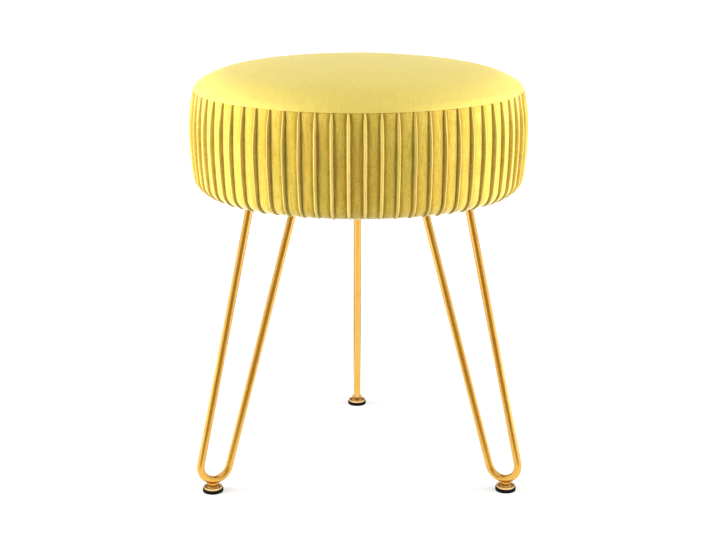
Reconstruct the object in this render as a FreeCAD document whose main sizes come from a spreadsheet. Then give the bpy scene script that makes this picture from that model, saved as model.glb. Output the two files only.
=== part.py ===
import FreeCAD
import Part
import Sketcher

import math
import os
import re

# Round drum stool on three hairpin legs with levelling feet.
# Millimetres, +Z up, origin on the floor under the middle of the seat.
# The viewer stands on the -Y side: two legs in front of the seat, one behind.

sizes = {
    # Seat drum: side band between the seam and the hem
    "hem_height": (305.5, "floor to the underside of the side band"),
    "band_depth": (103.0, "hem up to the seam of the top panel"),
    "belly_rise": (62.5, "hem up to the widest girth"),
    "base_radius": (171.0, "girth of the cloth between two tucks"),
    "upper_bow": (293.0, "bow of the side above the girth"),
    "lower_bow": (502.0, "bow of the side below the girth"),
    "corner_round": (15.6, "round of the lower corner"),
    "band_wall": (4.0, "velvet with its foam backing"),
    "turn_under": (31.0, "reach of the cloth turned in under the hem"),
    # Standing tucks of the side band
    "tuck_count": (68, "tucks round the band"),
    "tuck_width": (3.0, "thickness of one tuck"),
    "tuck_height": (4.0, "how far a tuck stands out at the girth"),
    "tuck_upper_bow": (155.0, "bow of the crest above the girth"),
    "tuck_lower_bow": (340.0, "bow of the crest below the girth"),
    "tuck_corner_round": (17.0, "round of the crest at the lower corner"),
    "tuck_drop": (1.5, "how far a tuck hangs below the hem"),
    "tuck_root": (2.0, "how deep a tuck is rooted in the backing"),
    "tuck_tail": (6.5, "run of the tuck end under the hem"),
    "crest_round": (1.4, "round of the crest edges"),
    "tuck_first_angle": (-3.8, "first tuck, turned from the front"),
    # Crown of the top panel: three arcs, each ends at its turn from level
    "seam_inset": (2.0, "seam inside the girth"),
    "seam_lift": (1.0, "panel edge above the band edge"),
    "crown_turn": (6.0, "slope at the end of the flat crown, degrees"),
    "shoulder_turn": (31.0, "slope at the end of the shoulder, degrees"),
    "rim_turn": (60.0, "slope at the seam, degrees"),
    "shoulder_bow": (97.4, "bow of the shoulder"),
    "rim_bow": (20.0, "bow of the rim"),
    "panel_cloth": (1.2, "velvet of the top panel"),
    # Filling and board
    "filling_gap": (0.2, "filling to cloth"),
    "pad_side": (14.0, "side of the crown pad below the seam"),
    "board_thickness": (15.0, "plywood"),
    "board_inset": (13.0, "plywood disc inside the girth"),
    "board_edge_round": (8.0, "lower edge of the board"),
    # Dust cover
    "dust_cloth": (0.8, "black non-woven cloth"),
    "dust_overlap": (9.0, "dust cover over the turned-under cloth"),
    "dust_step_gap": (0.5, "step of the dust cover to the turned-under cloth"),
    # Staples
    "staple_count": (24, "staples round the rim"),
    "staple_inset": (5.0, "staples from the edge of the turned-under cloth"),
    "staple_crown": (10.0, "width over the crown"),
    "staple_leg": (10.0, "height over the legs"),
    "staple_wire": (0.7, "thickness of the wire"),
    "staple_breadth": (1.2, "breadth of the wire"),
    # Legs
    "leg_count": (3, "hairpin legs"),
    "leg_first_angle": (90.0, "azimuth of the back leg"),
    "rod_radius": (4.0, "bent rod"),
    "outer_arm_inset": (10.9, "outer arm from the outer end of its plate"),
    "inner_arm_inset": (12.3, "inner arm from the inner end of its plate"),
    "foot_circle": (175.7, "feet, from the middle"),
    "foot_outset": (3.2, "foot outside the middle of the bend"),
    "bend_radius": (16.5, "centreline of the bend"),
    "bend_height": (28.5, "centre of the bend above the floor"),
    "rod_over": (8.0, "rod drawn past the plate before it is cut flush"),
    # Leg plates and their bolts
    "plate_thickness": (3.0, "steel"),
    "plate_length": (76.0, "along the leg"),
    "plate_width": (50.0, "across the leg"),
    "plate_inset": (2.7, "outer end of the plate from the step of the dust cover"),
    "plate_corner": (6.0, "corner round"),
    "bolt_end_inset": (9.0, "bolt from the end of the plate"),
    "bolt_side_inset": (8.0, "bolt from the side of the plate"),
    "bolt_radius": (3.0, "M6 shank"),
    "bolt_length": (16.0, "under the head"),
    "bolt_head_radius": (5.5, "button head"),
    "bolt_head_height": (3.3, "button head"),
    "bolt_head_bow": (6.6, "dome of the button head"),
    "bolt_tip": (0.5, "chamfer of the bolt tip"),
    "bolt_slack": (0.4, "bolt to plate and dust cover"),
    "socket_radius": (2.3, "over the corners of the hexagon socket"),
    "socket_depth": (2.0, "hexagon socket"),
    "thread_gap": (0.05, "screw to its nut"),
    "nut_barrel_radius": (4.0, "tee nut barrel"),
    "nut_barrel_length": (12.0, "tee nut over all"),
    "nut_flange_radius": (9.0, "tee nut flange"),
    "nut_flange": (1.5, "thickness of the flange"),
    "nut_fit": (0.05, "tee nut to the board"),
    # Feet
    "boss_radius": (5.0, "neck at its lower end"),
    "boss_top_radius": (5.6, "neck at its upper end"),
    "boss_below_rod": (2.0, "upper end of the neck under the rod axis"),
    "weld_gap": (0.05, "neck to rod"),
    "stud_radius": (2.5, "M5 stud"),
    "stud_over": (2.5, "end of the stud above the rod axis"),
    "tap_clear": (0.5, "end of the stud to the end of its hole"),
    "stop_gap": (0.1, "disc to neck when screwed in"),
    "disc_radius": (9.7, "bright disc"),
    "disc_thickness": (2.15, "bright disc"),
    "disc_rim": (1.3, "raised rim of the disc"),
    "disc_land_margin": (0.6, "raised land round the neck"),
    "disc_recess": (0.6, "between the rim and the land"),
    "pad_radius": (10.65, "black pad"),
    "pad_height": (3.4, "black pad"),
    "pad_edge": (0.4, "chamfer of the sole"),
    "spigot_radius": (4.0, "spigot that the pad turns on"),
    "spigot_depth": (1.5, "spigot below the disc"),
    "swivel_gap": (0.05, "pad to disc and spigot"),
}

# Derived lengths, written over the names above
hem = "hem_height"
seam = "(hem_height + band_depth)"
girth = "(hem_height + belly_rise)"
crest_radius = "(base_radius + tuck_height)"
seam_radius = "(base_radius - seam_inset)"
board_radius = "(base_radius - board_inset)"
turn_under_radius = "(base_radius - turn_under)"
dust_radius = f"({turn_under_radius} + dust_overlap)"
step_radius = f"({turn_under_radius} - dust_step_gap)"
staple_ring = f"({turn_under_radius} + staple_inset)"
board_under = "(hem_height + band_wall)"
board_top = f"({board_under} + board_thickness)"
core_top = f"({seam} - pad_side)"
dust_under = "(hem_height - dust_cloth)"
plate_top = f"({board_under} - dust_cloth)"
plate_under = f"({plate_top} - plate_thickness)"
plate_outer = f"({step_radius} - dust_cloth - plate_inset)"
plate_inner = f"({plate_outer} - plate_length)"
outer_arm_top = f"({plate_outer} - outer_arm_inset)"
inner_arm_top = f"({plate_inner} + inner_arm_inset)"
bolt_hole = "(bolt_radius + bolt_slack)"
nut_hole = "(nut_barrel_radius + nut_fit)"
bend_middle = "(foot_circle - foot_outset)"
bend_low = "(bend_height - bend_radius)"
disc_under = "(pad_height + swivel_gap)"
disc_top = f"({disc_under} + disc_thickness)"
boss_bottom = f"({disc_top} + stop_gap)"
stud_hole = "(stud_radius + thread_gap)"
stud_top = f"({bend_low} + stud_over)"

doc = FreeCAD.newDocument("vanity_stool")
sheet = doc.addObject("Spreadsheet::Sheet", "Dims")


def fillSheet():
    for row, (alias, (value, note)) in enumerate(sizes.items(), start=1):
        sheet.set(f"A{row}", alias)
        sheet.set(f"B{row}", str(value))
        sheet.setAlias(f"B{row}", alias)
        sheet.set(f"C{row}", note)
    doc.recompute()


def size(text):
    value = sheet.evalExpression(text)
    return float(getattr(value, "Value", value))


def bound(text):
    # Names with an underscore are cells of the sheet
    return re.sub(r"\b([a-z]+(?:_[a-z]+)+)\b", r"Dims.\1", text)


def newBody(label):
    body = doc.addObject("PartDesign::Body", label)
    body.Label = label
    return body


def newSketch(body, name, role, lift="0"):
    sketch = body.newObject("Sketcher::SketchObject", name)
    plane = [feature for feature in body.Origin.OriginFeatures if feature.Role == role][0]
    sketch.AttachmentSupport = [(plane, "")]
    sketch.MapMode = "FlatFace"
    sketch.setExpression(".AttachmentOffset.Base.z", bound(lift))
    return sketch


def rule(sketch, text, *constraint):
    # One dimension of a sketch, bound to the sheet
    index = sketch.addConstraint(Sketcher.Constraint(*constraint, size(text)))
    sketch.setExpression(f"Constraints[{index}]", bound(text))


def pinPoint(sketch, edge, end, across, up):
    if across == "0":
        sketch.addConstraint(Sketcher.Constraint("PointOnObject", edge, end, -2))
    else:
        rule(sketch, across, "DistanceX", -1, 1, edge, end)
    if up == "0":
        sketch.addConstraint(Sketcher.Constraint("PointOnObject", edge, end, -1))
    else:
        rule(sketch, up, "DistanceY", -1, 1, edge, end)


def arcMiddle(start, finish, radius, side):
    chord = finish - start
    half = chord.Length / 2
    rise = radius - math.sqrt(radius ** 2 - half ** 2)
    across = FreeCAD.Vector(-chord.y, chord.x, 0).normalize()
    return (start + finish) / 2 + across * rise * side


def drawProfile(sketch, corners, closed=True):
    # A corner is (across, up), or (across, up, radius, side) where an arc
    # leads on to the next corner: side 1 bows to the left of the way, -1 right
    points = [FreeCAD.Vector(size(corner[0]), size(corner[1]), 0) for corner in corners]
    count = len(corners) if closed else len(corners) - 1
    ends = []
    for index in range(count):
        start = points[index]
        finish = points[(index + 1) % len(points)]
        if len(corners[index]) == 2:
            edge = sketch.addGeometry(Part.LineSegment(start, finish), False)
            ends.append((edge, 1, 2))
            continue
        radius, side = corners[index][2:]
        middle = arcMiddle(start, finish, size(radius), side)
        # A sketch keeps its arcs counter-clockwise
        if side > 0:
            edge = sketch.addGeometry(Part.Arc(finish, middle, start), False)
            ends.append((edge, 2, 1))
        else:
            edge = sketch.addGeometry(Part.Arc(start, middle, finish), False)
            ends.append((edge, 1, 2))
        if "0" in (corners[index][0], corners[(index + 1) % len(corners)][0]):
            sketch.addConstraint(Sketcher.Constraint("PointOnObject", edge, 3, -2))
        else:
            rule(sketch, radius, "Radius", edge)
    for index, (edge, first, last) in enumerate(ends):
        pinPoint(sketch, edge, first, corners[index][0], corners[index][1])
        if closed or index + 1 < len(ends):
            following = ends[(index + 1) % len(ends)]
            sketch.addConstraint(
                Sketcher.Constraint("Coincident", edge, last, following[0], following[1]))
    if not closed:
        pinPoint(sketch, ends[-1][0], ends[-1][2], corners[-1][0], corners[-1][1])
    return sketch


def drawCircles(sketch, radius, places):
    for across, up in places:
        centre = FreeCAD.Vector(size(across), size(up), 0)
        circle = Part.Circle(centre, FreeCAD.Vector(0, 0, 1), size(radius))
        edge = sketch.addGeometry(circle, False)
        rule(sketch, radius, "Radius", edge)
        pinPoint(sketch, edge, 3, across, up)
    return sketch


def revolve(body, sketch):
    feature = body.newObject("PartDesign::Revolution", body.Name + "_turned")
    feature.Profile = sketch
    feature.ReferenceAxis = (sketch, ["V_Axis"])
    feature.Angle = 360
    return feature


def pad(body, sketch, length, symmetric=False):
    feature = body.newObject("PartDesign::Pad", sketch.Name + "_pad")
    feature.Profile = sketch
    feature.setExpression("Length", bound(length))
    if symmetric:
        feature.SideType = "Symmetric"
    return feature


def cut(body, sketch, length):
    # Cuts upward from the sketch
    feature = body.newObject("PartDesign::Pocket", sketch.Name + "_cut")
    feature.Profile = sketch
    feature.setExpression("Length", bound(length))
    feature.Reversed = True
    return feature


def repeat(body, features, count, axis_of):
    pattern = body.newObject("PartDesign::PolarPattern", features[-1].Name + "_ring")
    pattern.Originals = features
    pattern.Axis = (axis_of, ["N_Axis"])
    pattern.Angle = 360
    pattern.setExpression("Occurrences", bound(count))
    body.Tip = pattern
    return pattern


def turnTo(piece, angle, radius="0", height="0"):
    # Carries a piece that is drawn on +X round to its azimuth
    piece.Placement = FreeCAD.Placement(
        FreeCAD.Vector(0, 0, 0), FreeCAD.Rotation(FreeCAD.Vector(0, 0, 1), 1))
    piece.setExpression(".Placement.Rotation.Angle", bound(angle))
    piece.setExpression(".Placement.Base.x", bound(f"({radius}) * cos({angle})"))
    piece.setExpression(".Placement.Base.y", bound(f"({radius}) * sin({angle})"))
    piece.setExpression(".Placement.Base.z", bound(height))


def legAngle(leg):
    return f"(leg_first_angle + {leg} * 360 / leg_count)"


def boltPlaces():
    # Four bolts of a leg, drawn on +X
    side = "(plate_width / 2 - bolt_side_inset)"
    return [
        (along, across)
        for along in (f"({plate_outer} - bolt_end_inset)", f"({plate_inner} + bolt_end_inset)")
        for across in (side, f"(-{side})")]


# The side of the drum, set in from the cloth by a gap

lower_turn = "asin((belly_rise - corner_round) / (lower_bow - corner_round))"
corner_middle = (
    "(base_radius - lower_bow + (lower_bow - corner_round)"
    f" * cos({lower_turn}))")


def sideRadius(height, gap):
    # Radius of the side at a height above the lower corner
    bow = "upper_bow" if size(height) > size(girth) else "lower_bow"
    return f"(base_radius - {bow} + sqrt(({bow} - {gap})^2 - ({height} - {girth})^2))"


def sideCorners(gap):
    # From the lower corner up to the girth
    corner = f"(corner_round - {gap})"
    return [
        (corner_middle, f"(hem_height + {gap})", corner, -1),
        (f"({corner_middle} + {corner} * cos({lower_turn}))",
         f"(hem_height + corner_round - {corner} * sin({lower_turn}))",
         f"(lower_bow - {gap})", -1),
        (f"(base_radius - {gap})", girth, f"(upper_bow - {gap})", -1),
    ]


# The crown, set in from the cloth by a gap

crown_bow = (
    f"(({seam_radius} - shoulder_bow * (sin(shoulder_turn) - sin(crown_turn))"
    " - rim_bow * (sin(rim_turn) - sin(shoulder_turn))) / sin(crown_turn))")
rim_fall = "(rim_bow * (cos(shoulder_turn) - cos(rim_turn)))"
shoulder_fall = "(shoulder_bow * (cos(crown_turn) - cos(shoulder_turn)))"
crown_fall = f"({crown_bow} * (1 - cos(crown_turn)))"


def crownCorners(gap):
    # From the middle of the crown out to the seam
    edge_height = f"({seam} + seam_lift)"
    return [
        ("0", f"({edge_height} + {rim_fall} + {shoulder_fall} + {crown_fall} - {gap})",
         f"({crown_bow} - {gap})", 1),
        (f"(({crown_bow} - {gap}) * sin(crown_turn))",
         f"({edge_height} + {rim_fall} + {shoulder_fall} - {gap} * cos(crown_turn))",
         f"(shoulder_bow - {gap})", 1),
        (f"({seam_radius} - rim_bow * (sin(rim_turn) - sin(shoulder_turn))"
         f" - {gap} * sin(shoulder_turn))",
         f"({edge_height} + {rim_fall} - {gap} * cos(shoulder_turn))",
         f"(rim_bow - {gap})", 1),
        (f"({seam_radius} - {gap} * sin(rim_turn))",
         f"({edge_height} - {gap} * cos(rim_turn))"),
    ]


def backwards(corners):
    # The same line the other way, its arcs bowing to the same side of it
    turned = []
    for index in range(len(corners) - 1, -1, -1):
        arc = corners[index - 1][2:] if index > 0 else ()
        if arc:
            arc = (arc[0], -arc[1])
        turned.append(corners[index][:2] + tuple(arc))
    return turned


def makeTopPanel():
    body = newBody("top_panel")
    sketch = newSketch(body, "panel_section", "XZ_Plane")
    drawProfile(sketch, crownCorners("0") + backwards(crownCorners("panel_cloth")))
    revolve(body, sketch)


def tuckCorners():
    # Crest down from the seam, round the lower corner, back up in the backing
    turn = ("asin((belly_rise - tuck_corner_round + tuck_drop)"
            " / (tuck_lower_bow - tuck_corner_round))")
    middle = f"({crest_radius} - tuck_lower_bow + (tuck_lower_bow - tuck_corner_round) * cos({turn}))"
    low = "(hem_height - tuck_drop)"
    top = f"({seam} - seam_lift / 2)"
    root = "tuck_root"
    side = sideCorners(root)
    outer = [
        (f"({crest_radius} - tuck_upper_bow + sqrt(tuck_upper_bow^2 - ({top} - {girth})^2))", top,
         "tuck_upper_bow", 1),
        (crest_radius, girth, "tuck_lower_bow", 1),
        (f"({middle} + tuck_corner_round * cos({turn}))",
         f"({low} + tuck_corner_round - tuck_corner_round * sin({turn}))",
         "tuck_corner_round", 1),
        (middle, low),
        (f"({middle} - tuck_tail)", f"({hem} + {root} / 2)"),
    ]
    return outer + side + [(sideRadius(top, root), top)]


def makePleatedBand():
    # One tuck with a rounded crest, its ring, and the band that joins them
    body = newBody("pleated_band")
    tuck_sketch = newSketch(body, "tuck_section", "XZ_Plane")
    drawProfile(tuck_sketch, tuckCorners())
    tuck = pad(body, tuck_sketch, "tuck_width", symmetric=True)
    doc.recompute()
    crest = body.newObject("PartDesign::Fillet", "tuck_crest")
    crest.Base = (tuck, crestEdges(tuck.Shape))
    crest.setExpression("Radius", bound("crest_round"))
    ring = body.newObject("PartDesign::PolarPattern", "tuck_ring")
    ring.TransformMode = "Whole shape"
    ring.Axis = (newSketch(body, "tuck_axis", "XY_Plane"), ["N_Axis"])
    ring.Angle = 360
    ring.setExpression("Occurrences", bound("tuck_count"))
    body.Tip = ring
    doc.recompute()
    band_sketch = newSketch(body, "band_section", "XZ_Plane")
    outer = sideCorners("0") + [(sideRadius(seam, "0"), seam)]
    inner = sideCorners("band_wall") + [(sideRadius(seam, "band_wall"), seam)]
    drawProfile(
        band_sketch,
        [(turn_under_radius, hem)] + outer + backwards(inner)
        + [(turn_under_radius, board_under)])
    revolve(body, band_sketch)
    turnTo(body, "(tuck_first_angle - 90)")


def crestEdges(shape):
    # Both long edges of the crest: only the crest has arcs of these bows
    bows = [size(name) for name in ("tuck_upper_bow", "tuck_lower_bow", "tuck_corner_round")]
    names = []
    for index, edge in enumerate(shape.Edges, start=1):
        if edge.Curve.TypeId != "Part::GeomCircle":
            continue
        if any(abs(edge.Curve.Radius - bow) < 0.001 for bow in bows):
            names.append(f"Edge{index}")
    return names


def makeSeatBoard():
    body = newBody("seat_board")
    sketch = newSketch(body, "board_section", "XZ_Plane")
    drawProfile(sketch, [
        ("0", board_under),
        (f"({board_radius} - board_edge_round)", board_under, "board_edge_round", -1),
        (board_radius, f"({board_under} + board_edge_round)"),
        (board_radius, board_top),
        ("0", board_top),
    ])
    revolve(body, sketch)
    holes = drawCircles(newSketch(body, "nut_holes", "XY_Plane", board_under), nut_hole,
                        boltPlaces())
    through = cut(body, holes, "board_thickness")
    seats = drawCircles(
        newSketch(body, "flange_seats", "XY_Plane", f"({board_top} - nut_flange)"),
        "(nut_flange_radius + nut_fit)", boltPlaces())
    counterbore = cut(body, seats, "nut_flange")
    repeat(body, [through, counterbore], "leg_count", holes)
    turnTo(body, legAngle(0))


def makeFoamCore():
    body = newBody("foam_core")
    sketch = newSketch(body, "core_section", "XZ_Plane")
    gap = "(band_wall + filling_gap)"
    drawProfile(sketch, [
        ("0", board_top),
        (sideRadius(board_top, gap), board_top, f"(lower_bow - {gap})", -1),
        (f"(base_radius - {gap})", girth, f"(upper_bow - {gap})", -1),
        (sideRadius(core_top, gap), core_top),
        ("0", core_top),
    ])
    revolve(body, sketch)


def makeCrownPad():
    body = newBody("crown_pad")
    sketch = newSketch(body, "crown_section", "XZ_Plane")
    side_gap = "(band_wall + filling_gap)"
    crown = crownCorners("(panel_cloth + filling_gap)")
    ledge = crown[-1][1]
    drawProfile(sketch, [
        ("0", core_top),
        (sideRadius(core_top, side_gap), core_top, f"(upper_bow - {side_gap})", -1),
        (sideRadius(ledge, side_gap), ledge),
    ] + backwards(crown))
    revolve(body, sketch)


def makeDustCover():
    # Flat against the board, stepped down over the edge of the turned-under cloth
    body = newBody("dust_cover")
    sketch = newSketch(body, "dust_section", "XZ_Plane")
    drawProfile(sketch, [
        ("0", plate_top),
        (f"({step_radius} - dust_cloth)", plate_top),
        (f"({step_radius} - dust_cloth)", dust_under),
        (dust_radius, dust_under),
        (dust_radius, hem),
        (step_radius, hem),
        (step_radius, board_under),
        ("0", board_under),
    ])
    revolve(body, sketch)
    holes = drawCircles(newSketch(body, "dust_holes", "XY_Plane", plate_top), bolt_hole,
                        boltPlaces())
    repeat(body, [cut(body, holes, "dust_cloth")], "leg_count", holes)
    turnTo(body, legAngle(0))


def makeLegPlate(leg):
    body = newBody(f"leg_plate_{leg + 1}")
    half = "(plate_width / 2)"
    sketch = newSketch(body, f"plate_outline_{leg + 1}", "XY_Plane", plate_under)
    drawProfile(sketch, [
        (plate_inner, f"(-{half})"),
        (plate_outer, f"(-{half})"),
        (plate_outer, half),
        (plate_inner, half),
    ])
    plate = pad(body, sketch, "plate_thickness")
    doc.recompute()
    corners = body.newObject("PartDesign::Fillet", f"plate_corners_{leg + 1}")
    corners.Base = (plate, [
        f"Edge{index}" for index, edge in enumerate(plate.Shape.Edges, start=1)
        if abs(edge.tangentAt(edge.FirstParameter).z) > 0.99])
    corners.setExpression("Radius", bound("plate_corner"))
    holes = newSketch(body, f"plate_holes_{leg + 1}", "XY_Plane", plate_under)
    cut(body, drawCircles(holes, bolt_hole, boltPlaces()), "plate_thickness")
    turnTo(body, legAngle(leg))


def armLean(top_radius, sign):
    # Lean of an arm from the plate to its tangent point on the bend
    run = f"({bend_middle} - {top_radius})"
    drop = f"({plate_under} - bend_height)"
    return f"(atan({run} / {drop}) {sign} asin(bend_radius / sqrt({run}^2 + {drop}^2)))"


def makeLegRod(leg):
    # One rod bent into a hairpin, cut flush where it meets the plate
    body = newBody(f"leg_rod_{leg + 1}")
    outer_lean = armLean(outer_arm_top, "+")
    inner_lean = armLean(inner_arm_top, "-")
    top = f"({plate_under} + rod_over)"
    outer_top = f"({outer_arm_top} - rod_over * tan({outer_lean}))"
    inner_top = f"({inner_arm_top} - rod_over * tan({inner_lean}))"
    path = newSketch(body, f"rod_path_{leg + 1}", "XZ_Plane")
    drawProfile(path, [
        (outer_top, top),
        (f"({bend_middle} + bend_radius * cos({outer_lean}))",
         f"(bend_height + bend_radius * sin({outer_lean}))", "bend_radius", 1),
        (bend_middle, bend_low, "bend_radius", 1),
        (f"({bend_middle} - bend_radius * cos({inner_lean}))",
         f"(bend_height - bend_radius * sin({inner_lean}))"),
        (inner_top, top),
    ], closed=False)
    section = newSketch(body, f"rod_section_{leg + 1}", "XY_Plane")
    section.AttachmentOffset = FreeCAD.Placement(
        FreeCAD.Vector(0, 0, 0), FreeCAD.Rotation(FreeCAD.Vector(0, -1, 0), 1))
    section.setExpression(".AttachmentOffset.Base.x", bound(outer_top))
    section.setExpression(".AttachmentOffset.Base.z", bound(top))
    section.setExpression(".AttachmentOffset.Rotation.Angle", bound(outer_lean))
    drawCircles(section, "rod_radius", [("0", "0")])
    doc.recompute()
    rod = body.newObject("PartDesign::AdditivePipe", f"rod_{leg + 1}")
    rod.Profile = section
    rod.Spine = (path, [f"Edge{index + 1}" for index in range(4)])
    doc.recompute()
    flush = newSketch(body, f"rod_flush_{leg + 1}", "XY_Plane", plate_under)
    cut(body, drawCircles(flush, plate_outer, [("0", "0")]), "(2 * rod_over)")
    tap = newSketch(body, f"rod_tap_{leg + 1}", "XY_Plane")
    cut(body, drawCircles(tap, stud_hole, [("foot_circle", "0")]), f"({stud_top} + tap_clear)")
    turnTo(body, legAngle(leg))


def makeFootBoss(leg):
    # Threaded neck with a saddle that fits the bend
    body = newBody(f"foot_boss_{leg + 1}")
    top = f"({bend_low} - boss_below_rod)"
    sketch = newSketch(body, f"boss_section_{leg + 1}", "XZ_Plane")
    drawProfile(sketch, [
        (stud_hole, boss_bottom),
        ("boss_radius", boss_bottom),
        ("boss_top_radius", top),
        (stud_hole, top),
    ])
    revolve(body, sketch)
    saddle = newSketch(body, f"boss_saddle_{leg + 1}", "YZ_Plane", "-foot_outset")
    drawCircles(saddle, "(rod_radius + weld_gap)", [("0", bend_low)])
    axis = saddle.addGeometry(
        Part.LineSegment(FreeCAD.Vector(-1, size("bend_height"), 0),
                         FreeCAD.Vector(1, size("bend_height"), 0)), True)
    saddle.addConstraint(Sketcher.Constraint("Horizontal", axis))
    rule(saddle, "bend_height", "DistanceY", -1, 1, axis, 1)
    groove = body.newObject("PartDesign::Groove", f"boss_groove_{leg + 1}")
    groove.Profile = saddle
    groove.ReferenceAxis = (saddle, ["Axis0"])
    groove.Angle = 90
    groove.Midplane = True
    turnTo(body, legAngle(leg), "foot_circle")


def makeFootStud(leg):
    # Disc with a raised rim, its stud above and its spigot below
    body = newBody(f"foot_stud_{leg + 1}")
    sketch = newSketch(body, f"stud_section_{leg + 1}", "XZ_Plane")
    recess = f"({disc_top} - disc_recess)"
    land = "(boss_radius + disc_land_margin)"
    tip = "bolt_tip"
    drawProfile(sketch, [
        ("0", f"({disc_under} - spigot_depth)"),
        ("spigot_radius", f"({disc_under} - spigot_depth)"),
        ("spigot_radius", disc_under),
        ("disc_radius", disc_under),
        ("disc_radius", disc_top),
        ("(disc_radius - disc_rim)", disc_top),
        ("(disc_radius - disc_rim - disc_recess)", recess),
        (f"({land} + disc_recess)", recess),
        (land, disc_top),
        ("stud_radius", disc_top),
        ("stud_radius", f"({stud_top} - {tip})"),
        (f"(stud_radius - {tip})", stud_top),
        ("0", stud_top),
    ])
    revolve(body, sketch)
    turnTo(body, legAngle(leg), "foot_circle")


def makeFootPad(leg):
    # Pad that the spigot turns in
    body = newBody(f"foot_pad_{leg + 1}")
    sketch = newSketch(body, f"pad_section_{leg + 1}", "XZ_Plane")
    socket = "(spigot_radius + swivel_gap)"
    floor = f"({disc_under} - spigot_depth - swivel_gap)"
    drawProfile(sketch, [
        ("0", "0"),
        ("(pad_radius - pad_edge)", "0"),
        ("pad_radius", "pad_edge"),
        ("pad_radius", "pad_height"),
        (socket, "pad_height"),
        (socket, floor),
        ("0", floor),
    ])
    revolve(body, sketch)
    turnTo(body, legAngle(leg), "foot_circle")


def makeGroup(label, form, places):
    # Identical fasteners: links to one form, each at its own place
    links = []
    for index, (angle, across, height) in enumerate(places, start=1):
        link = doc.addObject("App::Link", f"{label}_{index}")
        link.LinkedObject = form
        radius, offset = across
        link.LinkPlacement = FreeCAD.Placement(
            FreeCAD.Vector(0, 0, 0), FreeCAD.Rotation(FreeCAD.Vector(0, 0, 1), 1))
        link.setExpression(".LinkPlacement.Rotation.Angle", bound(angle))
        link.setExpression(".LinkPlacement.Base.x", bound(
            f"{radius} * cos({angle}) - {offset} * sin({angle})"))
        link.setExpression(".LinkPlacement.Base.y", bound(
            f"{radius} * sin({angle}) + {offset} * cos({angle})"))
        link.setExpression(".LinkPlacement.Base.z", bound(height))
        links.append(link)
    group = doc.addObject("Part::Compound", label)
    group.Label = label
    group.Links = links
    return group


def boltedPlaces(height):
    return [
        (legAngle(leg), place, height)
        for leg in range(int(size("leg_count"))) for place in boltPlaces()]


def makeLegBolts():
    # Button head below, shank up, bearing face at the form's own origin
    body = newBody("bolt_form")
    sketch = newSketch(body, "bolt_section", "XZ_Plane")
    flat = "(bolt_head_radius / 2)"
    edge = "(bolt_head_height / 3)"
    drawProfile(sketch, [
        ("0", "(-bolt_head_height)"),
        (flat, "(-bolt_head_height)", "bolt_head_bow", -1),
        ("bolt_head_radius", f"(-{edge})"),
        ("bolt_head_radius", "0"),
        ("bolt_radius", "0"),
        ("bolt_radius", "(bolt_length - bolt_tip)"),
        ("(bolt_radius - bolt_tip)", "bolt_length"),
        ("0", "bolt_length"),
    ])
    revolve(body, sketch)
    socket = newSketch(body, "bolt_socket", "XY_Plane", "(-bolt_head_height)")
    drawProfile(socket, [
        (f"(socket_radius * cos({turn}))", f"(socket_radius * sin({turn}))")
        for turn in range(30, 390, 60)])
    cut(body, socket, "socket_depth")
    makeGroup("leg_bolts", body, boltedPlaces(plate_under))


def makeTeeNuts():
    # Flange on top, its upper face at the form's own origin
    body = newBody("tee_nut_form")
    sketch = newSketch(body, "nut_section", "XZ_Plane")
    bore = "(bolt_radius + thread_gap)"
    drawProfile(sketch, [
        (bore, "(-nut_barrel_length)"),
        ("nut_barrel_radius", "(-nut_barrel_length)"),
        ("nut_barrel_radius", "(-nut_flange)"),
        ("nut_flange_radius", "(-nut_flange)"),
        ("nut_flange_radius", "0"),
        (bore, "0"),
    ])
    revolve(body, sketch)
    makeGroup("tee_nuts", body, boltedPlaces(board_top))


def makeStaples():
    # Crown along the rim, legs up into the board
    body = newBody("staple_form")
    sketch = newSketch(body, "staple_outline", "YZ_Plane")
    half = "(staple_crown / 2)"
    inside = "(staple_crown / 2 - staple_wire)"
    drawProfile(sketch, [
        (f"(-{half})", "0"),
        (half, "0"),
        (half, "staple_leg"),
        (inside, "staple_leg"),
        (inside, "staple_wire"),
        (f"(-{inside})", "staple_wire"),
        (f"(-{inside})", "staple_leg"),
        (f"(-{half})", "staple_leg"),
    ])
    pad(body, sketch, "staple_breadth", symmetric=True)
    count = int(size("staple_count"))
    places = [
        (f"(leg_first_angle + {index + 0.5} * 360 / staple_count)", (staple_ring, "0"),
         f"({dust_under} - staple_wire)")
        for index in range(count)]
    makeGroup("staples", body, places)


def makeAll():
    makeTopPanel()
    makePleatedBand()
    makeCrownPad()
    makeFoamCore()
    makeSeatBoard()
    makeDustCover()
    makeStaples()
    makeTeeNuts()
    makeLegBolts()
    for leg in range(int(size("leg_count"))):
        makeLegPlate(leg)
        makeLegRod(leg)
        makeFootBoss(leg)
        makeFootStud(leg)
        makeFootPad(leg)
    doc.recompute()


def exportAll():
    for item in doc.Objects:
        if "Invalid" in item.State or "Error" in item.State:
            raise RuntimeError(f"{item.Name} is {item.State}")
    nodes = [
        item for item in doc.Objects
        if item.TypeId in ("PartDesign::Body", "Part::Compound")
        and not item.Label.endswith("_form")]
    for node in nodes:
        if node.Shape.isNull() or not node.Shape.isValid():
            raise RuntimeError(f"{node.Label} has no valid shape")
    os.makedirs("parts", exist_ok=True)
    for node in nodes:
        node.Shape.exportStep(f"parts/{node.Label}.step")
        box = node.Shape.BoundBox
        print(f"{node.Label}: {len(node.Shape.Solids)} solid, {node.Shape.Volume / 1000:.2f} cm3,"
              f" z {box.ZMin:.1f} to {box.ZMax:.1f}")


fillSheet()
makeAll()
exportAll()
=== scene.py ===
import math
import random

import bmesh
import bpy
from mathutils import Matrix, Vector, noise


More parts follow.
